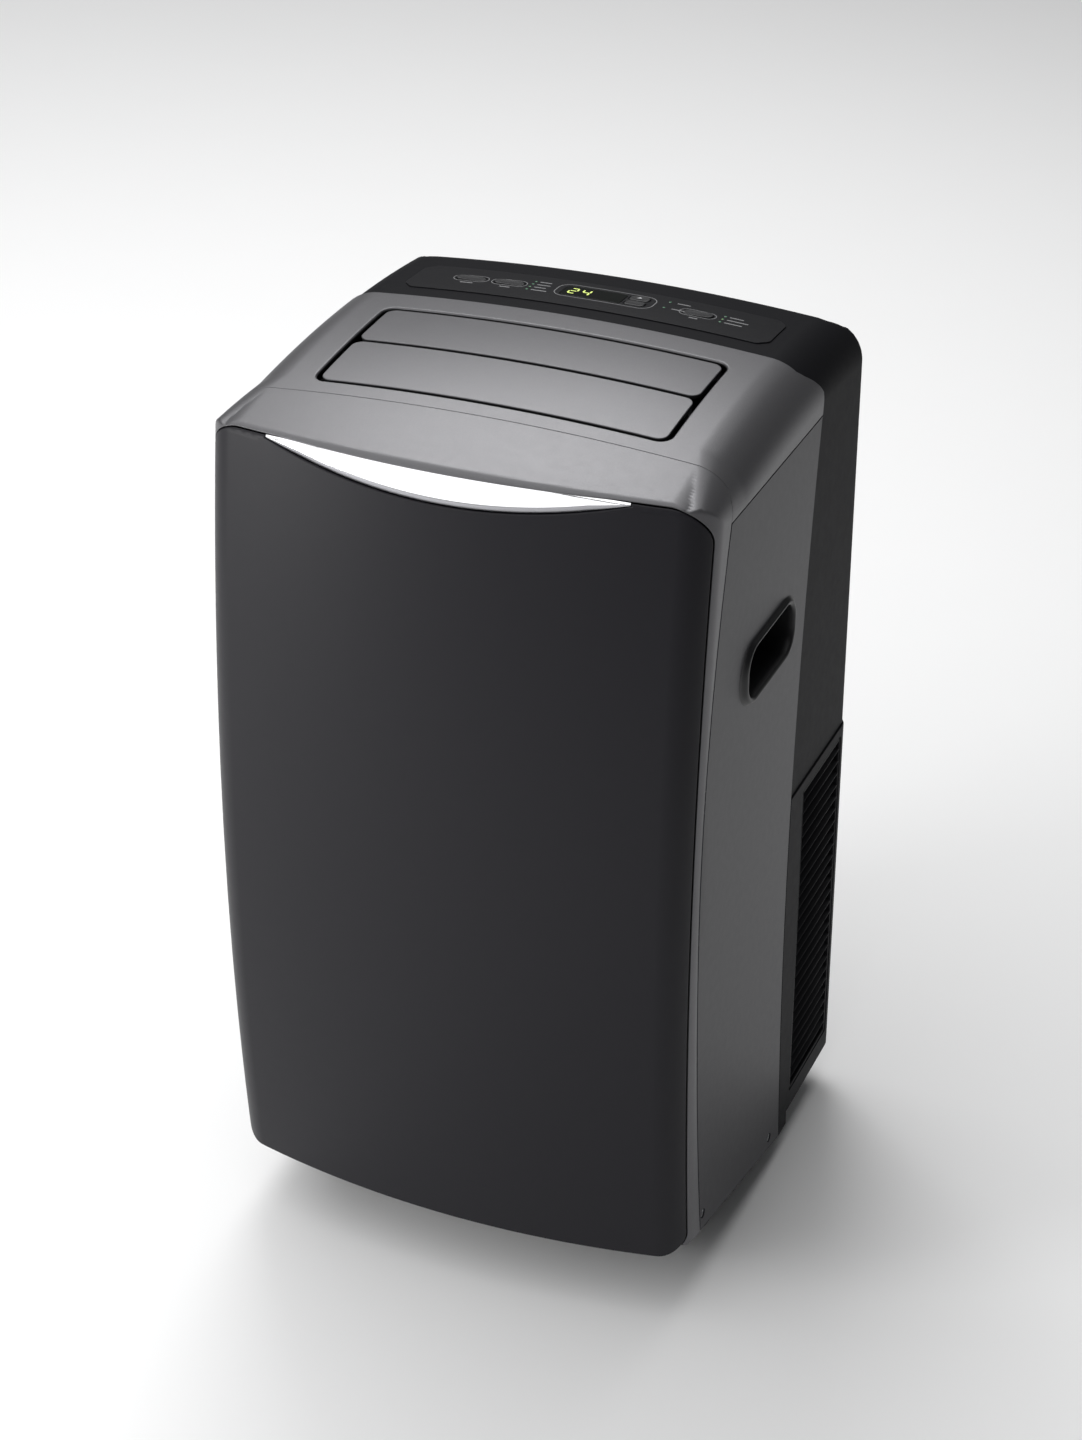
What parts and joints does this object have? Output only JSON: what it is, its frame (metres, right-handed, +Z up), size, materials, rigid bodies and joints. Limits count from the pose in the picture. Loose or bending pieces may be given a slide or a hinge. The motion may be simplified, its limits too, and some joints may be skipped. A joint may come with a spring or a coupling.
{
  "type": "portable air conditioner",
  "caption": "Tall free-standing air conditioner on casters with a bulged dark front, crowned top, flap air outlet, top keys, side handles and rear hot-air outlet.",
  "frame": {"origin": "on the floor, at the middle of the case's footprint", "axes": "+Z up, front faces -Y, +X to the right of somebody facing the front"},
  "size_m": [0.458, 0.452, 0.8429],
  "materials": {
    "charcoal_panel": "deep charcoal, satin gloss",
    "metallic_grey": "warm metallic grey moulding",
    "bright_trim": "bright plated trim",
    "side_grey": "mid grey moulding, fine grain",
    "rear_black": "near-black moulding, fine grain",
    "black_plastic": "black moulding",
    "gloss_black": "satin black fascia",
    "smoked_lens": "smoked clear lens",
    "board_green": "circuit board",
    "key_grey": "dark grey keys",
    "vane_grey": "metallic grey flap",
    "filter_grey": "filter frame and mesh",
    "white_plastic": "white inner moulding",
    "fan_plastic": "blue-grey fan plastic",
    "zinc_steel": "zinc-plated steel",
    "coil_aluminium": "fin stock",
    "compressor_black": "black enamelled steel",
    "rubber_black": "black rubber",
    "copper": "drawn copper tube",
    "wheel_grey": "nylon wheel"
  },
  "bodies": {
    "root": {"base_pan": "black_plastic", "front_panel": "charcoal_panel", "front_frame": "metallic_grey", "chrome_trim": "bright_trim", "top_cover": "metallic_grey", "side_panel_right": "side_grey", "side_panel_left": "side_grey", "handle_cup_right": "black_plastic", "handle_cup_left": "black_plastic", "rear_upper_casing": "rear_black", "rear_lower_casing": "rear_black", "side_grille_right": "rear_black", "side_grille_left": "rear_black", "rear_lower_grille": "rear_black", "intake_frame": "black_plastic", "exhaust_collar": "black_plastic", "control_overlay": "gloss_black", "display_lens": "smoked_lens", "display_board": "board_green", "air_duct": "black_plastic", "vane_motor": "zinc_steel", "blower_housing": "white_plastic", "blower_motor": "zinc_steel", "evaporator_coil": "coil_aluminium", "mid_deck": "white_plastic", "condenser_coil": "coil_aluminium", "condenser_fan_housing": "white_plastic", "condenser_fan_motor": "zinc_steel", "compressor": "compressor_black", "compressor_feet": "rubber_black", "refrigerant_pipes": "copper", "control_box": "zinc_steel", "cord_gland": "rubber_black", "drain_spout": "white_plastic", "case_screws": "zinc_steel"},
    "rear_vane": {"rear_vane": "vane_grey"},
    "front_vane": {"front_vane": "vane_grey"},
    "deflector_1": {"deflector_1": "black_plastic"},
    "deflector_2": {"deflector_2": "black_plastic"},
    "deflector_3": {"deflector_3": "black_plastic"},
    "deflector_4": {"deflector_4": "black_plastic"},
    "deflector_bar": {"deflector_bar": "black_plastic"},
    "power_key": {"power_key": "key_grey"},
    "mode_key": {"mode_key": "key_grey"},
    "fan_key": {"fan_key": "key_grey"},
    "temp_up_key": {"temp_up_key": "key_grey"},
    "temp_down_key": {"temp_down_key": "key_grey"},
    "filter_door": {"filter_door": "rear_black", "filter_mesh": "filter_grey"},
    "drain_plug": {"drain_plug": "rubber_black"},
    "blower_wheel": {"blower_wheel": "fan_plastic"},
    "condenser_fan": {"condenser_fan": "fan_plastic"},
    "caster_fork_front_right": {"caster_fork_front_right": "black_plastic"},
    "caster_wheel_front_right": {"caster_wheel_front_right": "wheel_grey"},
    "caster_fork_front_left": {"caster_fork_front_left": "black_plastic"},
    "caster_wheel_front_left": {"caster_wheel_front_left": "wheel_grey"},
    "caster_fork_rear_right": {"caster_fork_rear_right": "black_plastic"},
    "caster_wheel_rear_right": {"caster_wheel_rear_right": "wheel_grey"},
    "caster_fork_rear_left": {"caster_fork_rear_left": "black_plastic"},
    "caster_wheel_rear_left": {"caster_wheel_rear_left": "wheel_grey"}
  },
  "joints": [
    {"name": "rear_vane_hinge", "type": "hinge", "parent": "root", "child": "rear_vane", "pos_m": [0, 0.0325, 0.826], "axis": [-1, 0, 0], "range_deg": [0, 75]},
    {"name": "front_vane_hinge", "type": "hinge", "parent": "root", "child": "front_vane", "pos_m": [0, -0.0335, 0.8224], "axis": [-1, 0, 0], "range_deg": [0, 75]},
    {"name": "deflector_1_pivot", "type": "hinge", "parent": "root", "child": "deflector_1", "pos_m": [-0.099, -0.025, 0.77], "axis": [0, 0, 1], "range_deg": [-30, 30]},
    {"name": "deflector_2_pivot", "type": "hinge", "parent": "root", "child": "deflector_2", "pos_m": [-0.033, -0.025, 0.77], "axis": [0, 0, 1], "range_deg": [-30, 30]},
    {"name": "deflector_3_pivot", "type": "hinge", "parent": "root", "child": "deflector_3", "pos_m": [0.033, -0.025, 0.77], "axis": [0, 0, 1], "range_deg": [-30, 30]},
    {"name": "deflector_4_pivot", "type": "hinge", "parent": "root", "child": "deflector_4", "pos_m": [0.099, -0.025, 0.77], "axis": [0, 0, 1], "range_deg": [-30, 30]},
    {"name": "deflector_bar_pivot", "type": "hinge", "parent": "deflector_1", "child": "deflector_bar", "pos_m": [-0.099, -0.003, 0.77], "axis": [0, 0, 1], "range_deg": [-30, 30]},
    {"name": "power_key_press", "type": "slide", "parent": "root", "child": "power_key", "axis": [0, 0, -1], "range_m": [0, 0.0008], "stiffness_N_per_m": 800},
    {"name": "mode_key_press", "type": "slide", "parent": "root", "child": "mode_key", "axis": [0, 0, -1], "range_m": [0, 0.0008], "stiffness_N_per_m": 800},
    {"name": "fan_key_press", "type": "slide", "parent": "root", "child": "fan_key", "axis": [0, 0, -1], "range_m": [0, 0.0008], "stiffness_N_per_m": 800},
    {"name": "temp_up_key_press", "type": "slide", "parent": "root", "child": "temp_up_key", "axis": [0, 0, -1], "range_m": [0, 0.0008], "stiffness_N_per_m": 800},
    {"name": "temp_down_key_press", "type": "slide", "parent": "root", "child": "temp_down_key", "axis": [0, 0, -1], "range_m": [0, 0.0008], "stiffness_N_per_m": 800},
    {"name": "filter_door_hinge", "type": "hinge", "parent": "root", "child": "filter_door", "pos_m": [0, 0.218, 0.596], "axis": [-1, 0, 0], "range_deg": [0, 75]},
    {"name": "drain_plug_pull", "type": "slide", "parent": "root", "child": "drain_plug", "axis": [0, 1, 0], "range_m": [0, 0.012]},
    {"name": "blower_spin", "type": "hinge", "parent": "root", "child": "blower_wheel", "pos_m": [0, -0.02, 0.585], "axis": [1, 0, 0], "continuous": true},
    {"name": "condenser_fan_spin", "type": "hinge", "parent": "root", "child": "condenser_fan", "pos_m": [0.025, 0, 0.285], "axis": [0, 1, 0], "continuous": true},
    {"name": "caster_swivel_front_right", "type": "hinge", "parent": "root", "child": "caster_fork_front_right", "pos_m": [0.145, -0.078, 0.05], "axis": [0, 0, 1], "continuous": true},
    {"name": "caster_roll_front_right", "type": "hinge", "parent": "caster_fork_front_right", "child": "caster_wheel_front_right", "pos_m": [0.145, -0.064, 0.02], "axis": [1, 0, 0], "continuous": true},
    {"name": "caster_swivel_front_left", "type": "hinge", "parent": "root", "child": "caster_fork_front_left", "pos_m": [-0.145, -0.078, 0.05], "axis": [0, 0, 1], "continuous": true},
    {"name": "caster_roll_front_left", "type": "hinge", "parent": "caster_fork_front_left", "child": "caster_wheel_front_left", "pos_m": [-0.145, -0.064, 0.02], "axis": [1, 0, 0], "continuous": true},
    {"name": "caster_swivel_rear_right", "type": "hinge", "parent": "root", "child": "caster_fork_rear_right", "pos_m": [0.145, 0.146, 0.05], "axis": [0, 0, 1], "continuous": true},
    {"name": "caster_roll_rear_right", "type": "hinge", "parent": "caster_fork_rear_right", "child": "caster_wheel_rear_right", "pos_m": [0.145, 0.16, 0.02], "axis": [1, 0, 0], "continuous": true},
    {"name": "caster_swivel_rear_left", "type": "hinge", "parent": "root", "child": "caster_fork_rear_left", "pos_m": [-0.145, 0.146, 0.05], "axis": [0, 0, 1], "continuous": true},
    {"name": "caster_roll_rear_left", "type": "hinge", "parent": "caster_fork_rear_left", "child": "caster_wheel_rear_left", "pos_m": [-0.145, 0.16, 0.02], "axis": [1, 0, 0], "continuous": true}
  ],
  "couplings": [
    {"joint": "front_vane_hinge", "follows": "rear_vane_hinge", "ratio": 1},
    {"joint": "deflector_2_pivot", "follows": "deflector_1_pivot", "ratio": 1},
    {"joint": "deflector_3_pivot", "follows": "deflector_1_pivot", "ratio": 1},
    {"joint": "deflector_4_pivot", "follows": "deflector_1_pivot", "ratio": 1},
    {"joint": "deflector_bar_pivot", "follows": "deflector_1_pivot", "ratio": -1}
  ]
}
